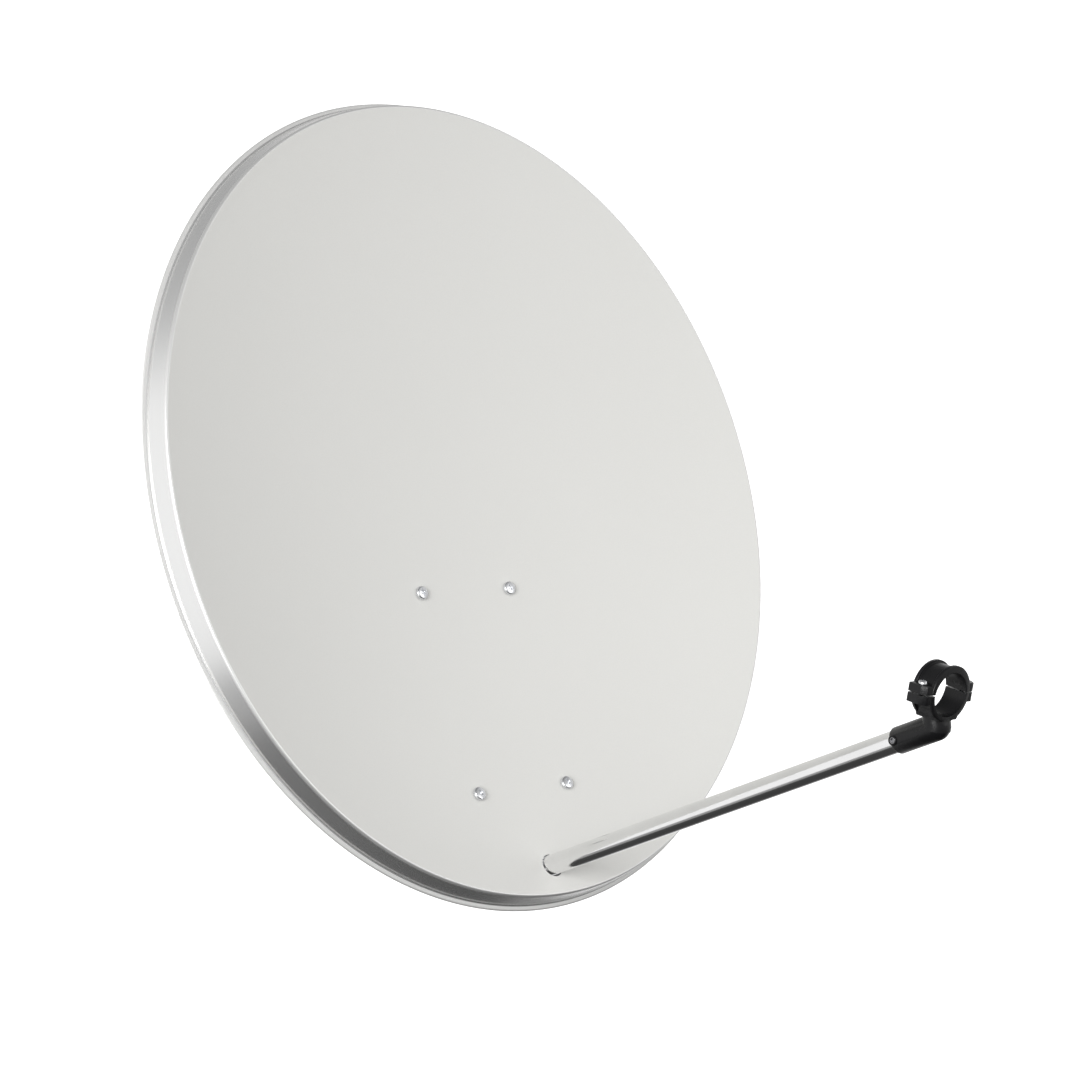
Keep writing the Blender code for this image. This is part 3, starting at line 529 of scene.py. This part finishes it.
for level_name, z in (("upper", JAW_BOLT_Z), ("lower", -JAW_BOLT_Z)):
    for side_name, x in (("left", -JAW_BOLT_X), ("right", JAW_BOLT_X)):
        place_name = f"{level_name}_{side_name}"
        seat = Vector((x, -PLATE - GAP, z))
        jaw_bolt(f"long_bolt_{place_name}", seat, JAW_WEB + 2 * PLATE + JAW_BOLT_END,
                 f"jaw_bolt_{place_name}")
        back = Vector((x, JAW_WEB + PLATE + GAP, z))
        flanged_nut(f"jaw_flange_nut_{place_name}", back, Vector((0, 1, 0)), f"jaw_nut_{place_name}",
                    "mast_clamp")


# Hinge bolts. One long hexagon bolt through both brackets is the elevation hinge, and a
# short one in the curved slot on each side locks it.
CHANNEL_X = 0.0420
BOLT_END = 0.0110


def hexagon_bolt(name, seat, axis, length, threaded, node, body):
    """A hexagon head with turned corners on a shank with a thread at its end."""
    place = upright(seat, axis)
    made = bmesh.new()
    turning = hexagon_bar(made, place, NUT_FLATS, 0.0003, 0.0053, 0.0009)
    piece = finish_mesh(name, made, ZINC, "zinc_fastener", body, node)
    shaped(piece, turned(bmesh.new(), turning, place), "INTERSECT", name + "_corners")
    outline = [(0.0, -length), (BOLT_RADIUS - 0.0010, -length)]
    outline += thread(BOLT_RADIUS, -length + 0.0006, -length + threaded)
    outline += [(BOLT_RADIUS, -length + threaded + 0.0010), (BOLT_RADIUS, 0.0)]
    outline += [(0.0058, 0.0), (0.0058, 0.0010), (0.0, 0.0010)]
    shaped(piece, turned(bmesh.new(), outline, place, 40), "UNION", name + "_shank")
    return piece


outer = CHEEK_INNER + PLATE + GAP
inner = CHANNEL_X - PLATE - GAP
slot_bolt = PIVOT - Vector((0.0, 0.0, SLOT_RADIUS))
hexagon_bolt("hinge_bolt", PIVOT - ACROSS * outer, -ACROSS, 2 * outer + BOLT_END, 0.022, "pivot_bolt",
             "mast_clamp")
flanged_nut("hinge_nut", PIVOT + ACROSS * outer, ACROSS, "pivot_nut", "mast_clamp")
for side, side_name in ((-1, "left"), (1, "right")):
    axis = ACROSS * side
    hexagon_bolt(f"slot_bolt_{side_name}", slot_bolt + axis * inner, -axis, outer - inner + BOLT_END,
                 0.014, f"lock_bolt_{side_name}", "mast_clamp")
    flanged_nut(f"slot_nut_{side_name}", slot_bolt + axis * outer, axis, f"lock_nut_{side_name}",
                "mast_clamp")


# Feed arm. A 20 mm steel tube, polished and chrome plated, pushed through the reflector's
# hole into the bracket's foot, where one bolt across it holds it. A plastic plug closes
# its rear end.
ARM_TILT = radians(4.61)
TUBE_RADIUS = 0.0100
TUBE_BORE = 0.0088
TUBE_FRONT = 0.478
TUBE_REAR = -0.092
ARM_BOLT_AT = -0.052
BOLT_HOLE = 0.0043
ARM_FOOT = on_bowl(0.0, ARM_HOLE_LEVEL)
ARM_DIR = OUT_RIM * cos(ARM_TILT) + UP_RIM * sin(ARM_TILT)
ARM_UP = UP_RIM * cos(ARM_TILT) - OUT_RIM * sin(ARM_TILT)


def on_arm(along, rise=0.0, x=0.0):
    """World point from coordinates along the feed arm."""
    return ARM_FOOT + ARM_DIR * along + ARM_UP * rise + ACROSS * x


arm_way = round_bar(bmesh.new(), on_arm(-0.02, -0.0005), on_arm(0.02, -0.0005), ARM_HOLE_RADIUS, 64)
cut(reflector, arm_way, "arm_hole")


def chrome_finish():
    """Bright chrome with faint lengthwise polishing marks."""
    made = Finish("arm_chrome_plate", Metallic=1.0)
    along = made.stretched((900.0, 12.0, 900.0), (atan2(ARM_DIR.z, -ARM_DIR.y), 0.0, 0.0))
    streaks = made.noise(1.0, 3.0, along)
    cloud = made.noise(24.0, 3.0)
    made.feed("Roughness", 0.07 + streaks * 0.08 + cloud * 0.05)
    made.feed("Base Color", made.mix(cloud, (0.80, 0.80, 0.80, 1.0), (0.91, 0.91, 0.91, 1.0)))
    made.bump(streaks, 0.05, 0.0002)
    return made.material


tube_outline = [(TUBE_BORE, TUBE_REAR + 0.0002), (TUBE_BORE + 0.0002, TUBE_REAR)]
tube_outline += [(TUBE_RADIUS - 0.0003, TUBE_REAR)]
tube_outline += [(TUBE_RADIUS, TUBE_REAR + 0.0003), (TUBE_RADIUS, TUBE_FRONT), (TUBE_BORE, TUBE_FRONT)]
tube_outline += [tube_outline[0]]
tube = turned(bmesh.new(), tube_outline, upright(ARM_FOOT, ARM_DIR), 96)
chrome_arm = finish_mesh("chrome_arm", tube, chrome_finish(), "arm_chrome", "dish", "feed_arm")
arm_bolt_at = on_arm(ARM_BOLT_AT)
bolt_way = round_bar(bmesh.new(), arm_bolt_at - ACROSS * 0.02, arm_bolt_at + ACROSS * 0.02, BOLT_HOLE, 32)
cut(chrome_arm, bolt_way, "tube_bolt_hole")
hexagon_bolt("cross_bolt", arm_bolt_at - ACROSS * outer, -ACROSS, 2 * outer + BOLT_END, 0.022, "arm_bolt",
             "dish")
flanged_nut("cross_bolt_nut", arm_bolt_at + ACROSS * outer, ACROSS, "arm_nut", "dish")


def moulded_finish(name, colour, roughness, grain):
    """Black moulded plastic with a slight sheen and a faint mould grain."""
    made = Finish(name, IOR=1.46, Specular_IOR_Level=0.28)
    cloud = made.noise(60.0, 3.0)
    made.feed("Base Color", made.mix(cloud, colour, toned(colour, 1.7)))
    made.feed("Roughness", roughness - 0.05 + cloud * 0.14)
    made.bump(made.noise(grain, 2.0) + made.noise(350.0, 2.0) * 2.0, 0.25, 0.0003)
    return made.material


BLACK = moulded_finish("holder_black_plastic", (0.005, 0.005, 0.0055, 1.0), 0.27, 1500.0)

plug_outline = [(0.0, TUBE_REAR - 0.0025), (TUBE_RADIUS - 0.0012, TUBE_REAR - 0.0025)]
plug_outline += [(TUBE_RADIUS - 0.0004, TUBE_REAR - 0.0022), (TUBE_RADIUS, TUBE_REAR - 0.0015)]
plug_outline += [(TUBE_RADIUS, TUBE_REAR - GAP), (TUBE_BORE - GAP, TUBE_REAR - GAP)]
plug_outline += [(TUBE_BORE - GAP, TUBE_REAR + 0.010)]
plug_outline += [(TUBE_BORE - 0.0015, TUBE_REAR + 0.010), (TUBE_BORE - 0.0015, TUBE_REAR + 0.001)]
plug_outline += [(0.0, TUBE_REAR + 0.001)]
plug = turned(bmesh.new(), plug_outline, upright(ARM_FOOT, ARM_DIR), 64)
finish_mesh("tube_plug", plug, BLACK, "black_plastic", "dish", "arm_end_cap")


# Receiver holder. One black plastic moulding: a sleeve over the tube's end with a blind
# rounded knee, a short neck, and the lower half of a 40 mm clamp ring with a flange at
# each end and an ear on each side.
SLEEVE_MOUTH = 0.4612
SLEEVE_RADIUS = 0.0118
SLEEVE_BORE = 0.0103
ELBOW_ALONG = 0.5045
NECK_RADIUS = 0.0123
NECK_WIDTH = 0.0129
RING_ALONG = 0.5287
RING_RISE = 0.0212
RING_TILT = radians(11.69)
RING_BORE = 0.0200
RING_WALL = 0.0222
FLANGE_RADIUS = 0.0242
RING_LENGTH = 0.0227
FLANGE_THICK = 0.0034
HALF_GAP = 0.0006
EAR_OUTLINE = [(0.0180, -0.0083), (0.0322, -0.0083), (0.0328, -0.0077), (0.0328, 0.0024)]
EAR_OUTLINE += [(0.0325, 0.0046), (0.0314, 0.0072), (0.0296, 0.0098), (0.0283, 0.0108), (0.0180, 0.0108)]
EAR_EDGE = 0.00025
EAR_OVERLAP = 0.0025
EAR_TOP = 0.0077
EAR_BOTTOM = -0.0083
EAR_SCREW_X = 0.0262
EAR_SCREW_ALONG = 0.0012
CLAMP_SCREW_RADIUS = 0.0020
BOSS_AT = SLEEVE_MOUTH + 0.0040
BOSS_PROUD = 0.0012
BOSS_ROOT = 0.0060
KNEE = on_arm(ELBOW_ALONG)
RING_DIR = Vector((0.0, -cos(RING_TILT), -sin(RING_TILT)))
RING_UP = Vector((0.0, -sin(RING_TILT), cos(RING_TILT)))
RING_MIDDLE = on_arm(RING_ALONG, RING_RISE) - RING_DIR * (RING_LENGTH / 2)


def ring_point(x, up, along):
    """World point in the clamp ring's frame."""
    return RING_MIDDLE + ACROSS * x + RING_UP * up + RING_DIR * along


def pushed(outline, place, depth, width):
    """A flat outline pushed along local Z, with all its edges rounded."""
    made = bmesh.new()
    made.faces.new([made.verts.new(place @ Vector((x, y, 0.0))) for x, y in outline])
    grown = bmesh.ops.extrude_face_region(made, geom=made.faces[:])
    corners = [item for item in grown["geom"] if isinstance(item, bmesh.types.BMVert)]
    bmesh.ops.translate(made, verts=corners, vec=place.to_3x3() @ Vector((0.0, 0.0, depth)))
    bmesh.ops.recalc_face_normals(made, faces=made.faces)
    if width:
        bmesh.ops.bevel(made, geom=made.edges[:], offset=width, affect="EDGES", segments=2, profile=0.5,
                        material=-1, clamp_overlap=True)
    return made


def ring_outline():
    """Outside of the clamp ring with its two flanges, for turning about its axis."""
    half = RING_LENGTH / 2
    outline = [(0.0, -half), (FLANGE_RADIUS - 0.0006, -half), (FLANGE_RADIUS - 0.0002, -half + 0.0002)]
    outline += [(FLANGE_RADIUS, -half + 0.0006), (FLANGE_RADIUS, -half + FLANGE_THICK - 0.0005)]
    outline += [(FLANGE_RADIUS - 0.0004, -half + FLANGE_THICK)]
    outline += [(RING_WALL + 0.0005, -half + FLANGE_THICK), (RING_WALL, -half + FLANGE_THICK + 0.0005)]
    return outline + [(radius, -along) for radius, along in reversed(outline)]


def clamp_bore(drop):
    """The 40 mm bore with its mouths chamfered, its edges half a step from the ring's."""
    half = RING_LENGTH / 2
    outline = [(0.0, -half - 0.001), (RING_BORE + 0.0014, -half - 0.001), (RING_BORE, -half + 0.0004)]
    outline += [(RING_BORE, half - 0.0004), (RING_BORE + 0.0014, half + 0.001), (0.0, half + 0.001)]
    half_step = Matrix.Rotation(pi / 96, 4, "Z")
    return turned(bmesh.new(), outline, upright(ring_point(0, -drop, 0), RING_DIR) @ half_step, 96)


def ear(side, low, high):
    """One ear beside the clamp ring, between two heights."""
    place = Matrix((ACROSS, RING_DIR, -RING_UP)).transposed().to_4x4()
    place.translation = ring_point(0, high, 0)
    return pushed([(side * x, along) for x, along in EAR_OUTLINE], place, high - low, EAR_EDGE)


def ring_section(outline, along, depth):
    """An outline across the ring, pushed along it."""
    place = Matrix((ACROSS, RING_UP, RING_DIR)).transposed().to_4x4()
    place.translation = ring_point(0, 0, along)
    return pushed(outline, place, depth, 0.0)


def half_space(sign):
    """A block on one side of the line between the clamp's halves."""
    outline = [(-0.05, sign * HALF_GAP), (0.05, sign * HALF_GAP)]
    outline += [(0.05, -sign * 0.05), (-0.05, -sign * 0.05)]
    return ring_section(outline, -0.03, 0.06)


def hexagon_socket(mouth, axis, flats, depth):
    """A hexagon bar that stands half out of a face, for cutting a socket."""
    return hexagon(bmesh.new(), flats, 2 * depth, upright(mouth, axis))


def neck():
    """The neck under the ring, round at the knee and drawn out flush with the ring's ends."""
    made = bmesh.new()
    knee_up = (KNEE - RING_MIDDLE).dot(RING_UP)
    knee_along = (KNEE - RING_MIDDLE).dot(RING_DIR)
    half = RING_LENGTH / 2 - 0.0003
    levels = [(knee_up - 0.0020, knee_along, NECK_RADIUS, NECK_RADIUS)]
    levels += [(knee_up + 0.0020, knee_along, NECK_RADIUS, NECK_RADIUS)]
    levels += [(knee_up + 0.0060, knee_along * 0.55, NECK_RADIUS + 0.0002, half + 0.0006)]
    levels += [(knee_up + 0.0095, 0.0, NECK_WIDTH, half), (knee_up + 0.0125, 0.0, NECK_WIDTH, half)]
    loops = []
    for up, along, wide, deep in levels:
        place = Matrix((ACROSS, RING_DIR, -RING_UP)).transposed().to_4x4()
        place.translation = ring_point(0, up, along)
        size = Matrix.Diagonal((wide, deep, 1.0, 1.0))
        ring = bmesh.ops.create_circle(made, cap_ends=False, radius=1.0, segments=72, matrix=place @ size)
        around = set(ring["verts"])
        loops.append([edge for edge in made.edges if around.issuperset(edge.verts)])
    for lower, upper in zip(loops, loops[1:]):
        bmesh.ops.bridge_loops(made, edges=lower + upper)
    for end in (loops[0], loops[-1]):
        bmesh.ops.contextual_create(made, geom=end)
    return made


def screw_way(side):
    """The clamp screw's way through the ears."""
    low = ring_point(side * EAR_SCREW_X, -0.02, EAR_SCREW_ALONG)
    return round_bar(bmesh.new(), low, low + RING_UP * 0.04, CLAMP_SCREW_RADIUS + GAP, 32)


sleeve_outline = [(0.0, SLEEVE_MOUTH), (SLEEVE_RADIUS - 0.0014, SLEEVE_MOUTH)]
sleeve_outline += [(SLEEVE_RADIUS - 0.0005, SLEEVE_MOUTH + 0.0003), (SLEEVE_RADIUS, SLEEVE_MOUTH + 0.0011)]
for step in range(16):
    turn = pi * step / 32
    sleeve_outline.append((SLEEVE_RADIUS * cos(turn), ELBOW_ALONG + SLEEVE_RADIUS * sin(turn)))
sleeve_outline += [(0.0, ELBOW_ALONG + SLEEVE_RADIUS)]
sleeve = turned(bmesh.new(), sleeve_outline, upright(ARM_FOOT, ARM_DIR), 96)
holder = finish_mesh("moulded_holder", sleeve, BLACK, "black_plastic", "dish", "lnb_holder")
shaped(holder, neck(), "UNION", "neck")
inside = RING_WALL - 0.0003
saddle_turns = [radians(-38 * step / 16) for step in range(17)]
saddle = [(inside * cos(turn), inside * sin(turn)) for turn in saddle_turns]
saddle += [(NECK_WIDTH, -RING_WALL - 0.0005)]
saddle += [(-x, up) for x, up in reversed(saddle)]
shaped(holder, ring_section(saddle, -RING_LENGTH / 2 + 0.0005, RING_LENGTH - 0.001), "UNION", "saddle")
shaped(holder, turned(bmesh.new(), ring_outline(), upright(RING_MIDDLE, RING_DIR), 96), "UNION", "ring")
for side in (-1, 1):
    shaped(holder, ear(side, EAR_BOTTOM, EAR_OVERLAP), "UNION", "ear")
boss_height = SLEEVE_RADIUS + BOSS_PROUD - BOSS_ROOT
boss_place = upright(on_arm(BOSS_AT, 0.0, -BOSS_ROOT), -ACROSS)
boss = [(0.0, 0.0), (0.0044, 0.0), (0.0043, boss_height - 0.0005), (0.0041, boss_height - 0.0002)]
boss += [(0.0038, boss_height), (0.0, boss_height)]
shaped(holder, turned(bmesh.new(), boss, boss_place, 40), "UNION", "boss")
cut(holder, half_space(-1), "parting")
cut(holder, clamp_bore(0.0), "clamp_bore")
sleeve_way = [(0.0, SLEEVE_MOUTH - 0.001), (SLEEVE_BORE + 0.0014, SLEEVE_MOUTH - 0.001)]
sleeve_way += [(SLEEVE_BORE, SLEEVE_MOUTH + 0.0004)]
sleeve_way += [(SLEEVE_BORE, TUBE_FRONT + GAP), (0.0, TUBE_FRONT + GAP)]
cut(holder, turned(bmesh.new(), sleeve_way, upright(ARM_FOOT, ARM_DIR), 96), "sleeve_bore")
grip_hole = [(0.0, -0.010), (0.0024, -0.010), (0.0024, boss_height - 0.0030)]
grip_hole += [(0.0030, boss_height - 0.0026), (0.0030, boss_height - 0.0002)]
grip_hole += [(0.0035, boss_height + 0.0003), (0.0, boss_height + 0.0003)]
cut(holder, turned(bmesh.new(), grip_hole, boss_place, 40), "grip_hole")
for side in (-1, 1):
    cut(holder, screw_way(side), "screw_way")


# Clamp cap. The upper half of the clamp ring, a moulding of the same black plastic. With
# no receiver neck in the clamp it has sunk onto the lower half.
CAP_DROP = 0.0023

cap_ring = turned(bmesh.new(), ring_outline(), upright(RING_MIDDLE, RING_DIR), 96)
cap = finish_mesh("moulded_cap", cap_ring, BLACK, "black_plastic", "dish", "lnb_clamp_cap")
for side in (-1, 1):
    shaped(cap, ear(side, -EAR_OVERLAP, EAR_TOP), "UNION", "ear")
cut(cap, half_space(1), "parting")
cut(cap, clamp_bore(CAP_DROP), "clamp_bore")
for side in (-1, 1):
    cut(cap, screw_way(side), "screw_way")


# Holder screws. Two bright pan head screws with cross recesses draw the clamp's halves
# together, and a short socket screw in the sleeve's boss grips the tube.
DARK_ZINC = zinc_finish("grip_screw_dark_zinc", (0.30, 0.30, 0.31, 1.0), 0.34)

screw_length = EAR_TOP - EAR_BOTTOM - 0.0006
for side, side_name in ((-1, "left"), (1, "right")):
    seat = ring_point(side * EAR_SCREW_X, EAR_TOP + GAP, EAR_SCREW_ALONG)
    outline = [(0.0, -screw_length), (CLAMP_SCREW_RADIUS - 0.0008, -screw_length)]
    outline += thread(CLAMP_SCREW_RADIUS, -screw_length + 0.0006, -0.004, 0.0007)
    outline += [(CLAMP_SCREW_RADIUS, -0.0036), (CLAMP_SCREW_RADIUS, 0.0), (0.0038, 0.0)]
    outline += [(0.0040, 0.0002), (0.0040, 0.0011), (0.0038, 0.0018)]
    outline += [(0.0032, 0.0025), (0.0022, 0.0029), (0.0, 0.0030)]
    made = turned(bmesh.new(), outline, upright(seat, RING_UP), 40)
    piece = finish_mesh(f"pan_screw_{side_name}", made, ZINC, "zinc_fastener", "dish",
                        f"clamp_screw_{side_name}")
    for turn in (0.6, 0.6 + pi / 2):
        recess = bmesh.new()
        arm = Matrix.Rotation(turn, 4, "Z") @ Matrix.Diagonal((0.0046, 0.0009, 0.0034, 1.0))
        bmesh.ops.create_cube(recess, size=1.0, matrix=upright(seat + RING_UP * 0.0033, RING_UP) @ arm)
        cut(piece, recess, f"pan_recess_{side_name}")

seat = on_arm(BOSS_AT, 0.0, -TUBE_RADIUS - GAP)
head_top = SLEEVE_RADIUS + BOSS_PROUD - TUBE_RADIUS - GAP - 0.0003
outline = [(0.0, 0.0), (0.0018, 0.0), (0.0021, 0.0003), (0.0021, head_top - 0.0018)]
outline += [(0.0028, head_top - 0.0018), (0.0028, head_top - 0.0002)]
outline += [(0.0026, head_top), (0.0, head_top)]
made = turned(bmesh.new(), outline, upright(seat, -ACROSS), 32)
grip_screw = finish_mesh("grip_screw", made, DARK_ZINC, "zinc_fastener", "dish", "holder_screw")
cut(grip_screw, hexagon_socket(seat - ACROSS * head_top, -ACROSS, 0.0040, 0.0016), "grip_socket")


# Studio. A pale floor and backdrop that only the camera sees, a soft room and two square
# lamps that light the antenna and show in its bright surfaces, and a camera at the
# photograph's place.
CAMERA_FROM_RIM = Vector((-1.6613, -1.9140, 0.0587))
CAMERA_YAW = radians(-42.07)
CAMERA_PITCH = radians(2.44)
FOCAL_PIXELS = 2560.2
PHOTO_PIXELS = 1080
FLOOR_LEVEL = -0.75

floor_mesh = bmesh.new()
bmesh.ops.create_grid(floor_mesh, x_segments=1, y_segments=1, size=14.0)
floor_data = bpy.data.meshes.new("floor")
floor_mesh.to_mesh(floor_data)
floor_mesh.free()
floor = bpy.data.objects.new("floor", floor_data)
floor.location = (0.0, 0.0, FLOOR_LEVEL)
floor.visible_glossy = False
floor.visible_diffuse = False
bpy.context.scene.collection.objects.link(floor)
floor_look = Finish("floor_white", Roughness=0.9, Base_Color=(0.95, 0.95, 0.95, 1.0))
floor_look.shader.inputs["Emission Color"].default_value = (1.0, 1.0, 1.0, 1.0)
floor_look.shader.inputs["Emission Strength"].default_value = 1.0
floor_data.materials.append(floor_look.material)

dome_mesh = bmesh.new()
bmesh.ops.create_icosphere(dome_mesh, subdivisions=3, radius=13.0)
bmesh.ops.reverse_faces(dome_mesh, faces=dome_mesh.faces)
dome_data = bpy.data.meshes.new("backdrop")
dome_mesh.to_mesh(dome_data)
dome_mesh.free()
dome = bpy.data.objects.new("backdrop", dome_data)
dome.visible_glossy = False
dome.visible_diffuse = False
dome.visible_shadow = False
bpy.context.scene.collection.objects.link(dome)
dome_data.materials.append(floor_look.material)

room = bpy.data.worlds.new("soft_room")
room.use_nodes = True
walls = Nodes(room.node_tree)
direction = walls.node("ShaderNodeTexCoord", {}, {}, "Generated")
dot = {"operation": "DOT_PRODUCT"}
lean = walls.node("ShaderNodeVectorMath", dot, {0: direction, 1: (0.0, 0.2, 1.0)}, "Value")
# The room is dark underfoot, white around and grey overhead, and dimmer before the dish.
wall_stops = [(0.0, 0.06), (0.17, 0.05), (0.235, 0.07), (0.25, 0.33), (0.31, 0.33)]
wall_stops += [(0.325, 1.0), (0.70, 1.0), (0.78, 0.45), (0.86, 0.30)]
grey = walls.node("ShaderNodeValToRGB", {"stops": wall_stops}, {0: lean * 0.4 + 0.5})
ahead = walls.node("ShaderNodeVectorMath", dot, {0: direction, 1: (0.30, -0.95, 0.0)}, "Value")
dim = walls.node("ShaderNodeValToRGB", {"stops": [(0.1, 1.0), (0.8, 0.58)]}, {0: ahead})
brightness = grey * dim
room.node_tree.links.new(brightness.socket, room.node_tree.nodes["Background"].inputs["Color"])
room.node_tree.nodes["Background"].inputs["Strength"].default_value = 1.0
bpy.context.scene.world = room


def soft_light(name, place, target, size, power):
    """A large square lamp turned to a point."""
    lamp = bpy.data.lights.new(name, "AREA")
    lamp.shape = "RECTANGLE"
    lamp.size = size[0]
    lamp.size_y = size[1]
    lamp.energy = power
    made = bpy.data.objects.new(name, lamp)
    made.location = place
    made.rotation_euler = (Vector(target) - Vector(place)).to_track_quat("-Z", "Y").to_euler()
    bpy.context.scene.collection.objects.link(made)
    return made


soft_light("left_softbox", (-2.4, -1.6, 0.6), (0.0, -0.1, 0.1), (1.4, 1.4), 60.0)
soft_light("right_fill", (1.6, -2.8, 1.0), (0.0, -0.1, 0.2), (1.6, 1.6), 11.0)

lens = bpy.data.cameras.new("photo_camera")
lens.sensor_width = 36.0
lens.lens = 36.0 * FOCAL_PIXELS / PHOTO_PIXELS
lens.clip_start = 0.05
lens.clip_end = 60.0
camera = bpy.data.objects.new("photo_camera", lens)
bpy.context.scene.collection.objects.link(camera)
camera.location = RIM_CENTRE + CAMERA_FROM_RIM
heading = Vector((-sin(CAMERA_YAW), cos(CAMERA_YAW), 0.0))
sight = heading * cos(CAMERA_PITCH) - Vector((0.0, 0.0, sin(CAMERA_PITCH)))
camera.rotation_euler = sight.to_track_quat("-Z", "Y").to_euler()
bpy.context.scene.camera = camera
bpy.context.scene.view_settings.view_transform = "Standard"
